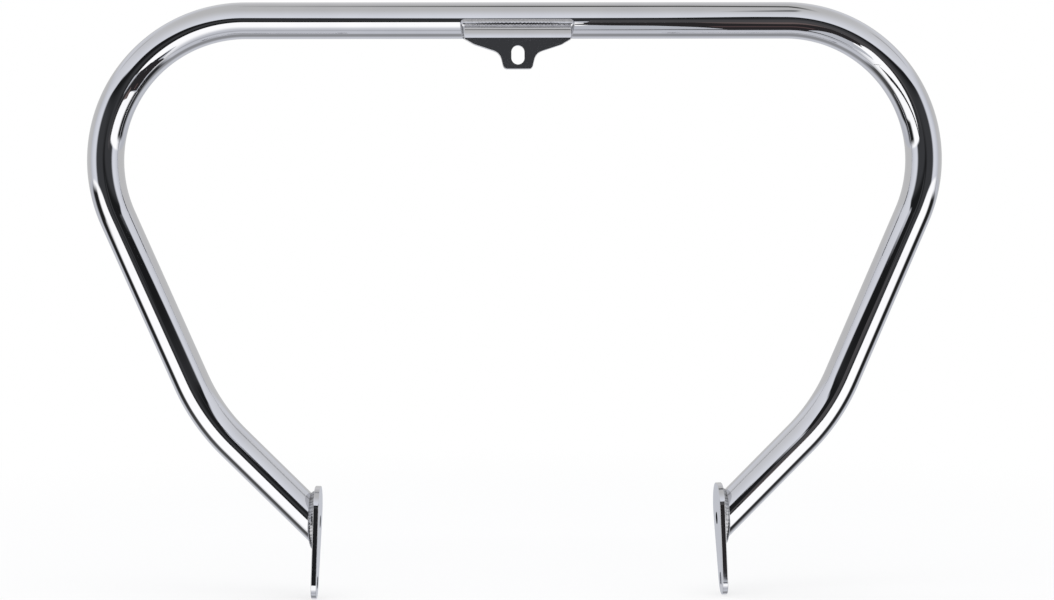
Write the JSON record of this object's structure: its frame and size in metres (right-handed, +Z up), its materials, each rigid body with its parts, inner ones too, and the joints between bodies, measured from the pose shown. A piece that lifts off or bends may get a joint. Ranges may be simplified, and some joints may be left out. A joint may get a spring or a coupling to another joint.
{
  "type": "motorcycle engine guard",
  "caption": "Chromed tubular engine guard for a motorcycle, bent to an open loop, with welded end plates and a welded, slotted upper tab.",
  "frame": {"origin": "middle of the upper tab's slot, on the flat face of the tab that seats on the motorcycle", "axes": "+X across the guard to the right as seen from the tab's side, +Y from the tab's seating face towards the tube, +Z up from the end plates to the top bar"},
  "size_m": [0.752, 0.0549, 0.5225],
  "materials": {
    "tube_chrome": "bright polished chrome plate",
    "plate_chrome": "chrome plate over flat cut steel plate",
    "tab_chrome": "chrome plate over bent steel plate",
    "weld_chrome": "chrome plate over a rippled weld bead"
  },
  "bodies": {
    "root": {"guard_tube": "tube_chrome", "left_mount_plate": "plate_chrome", "right_mount_plate": "plate_chrome", "upper_mount_tab": "tab_chrome", "left_plate_weld": "weld_chrome", "right_plate_weld": "weld_chrome", "tab_weld": "weld_chrome"}
  },
  "joints": []
}
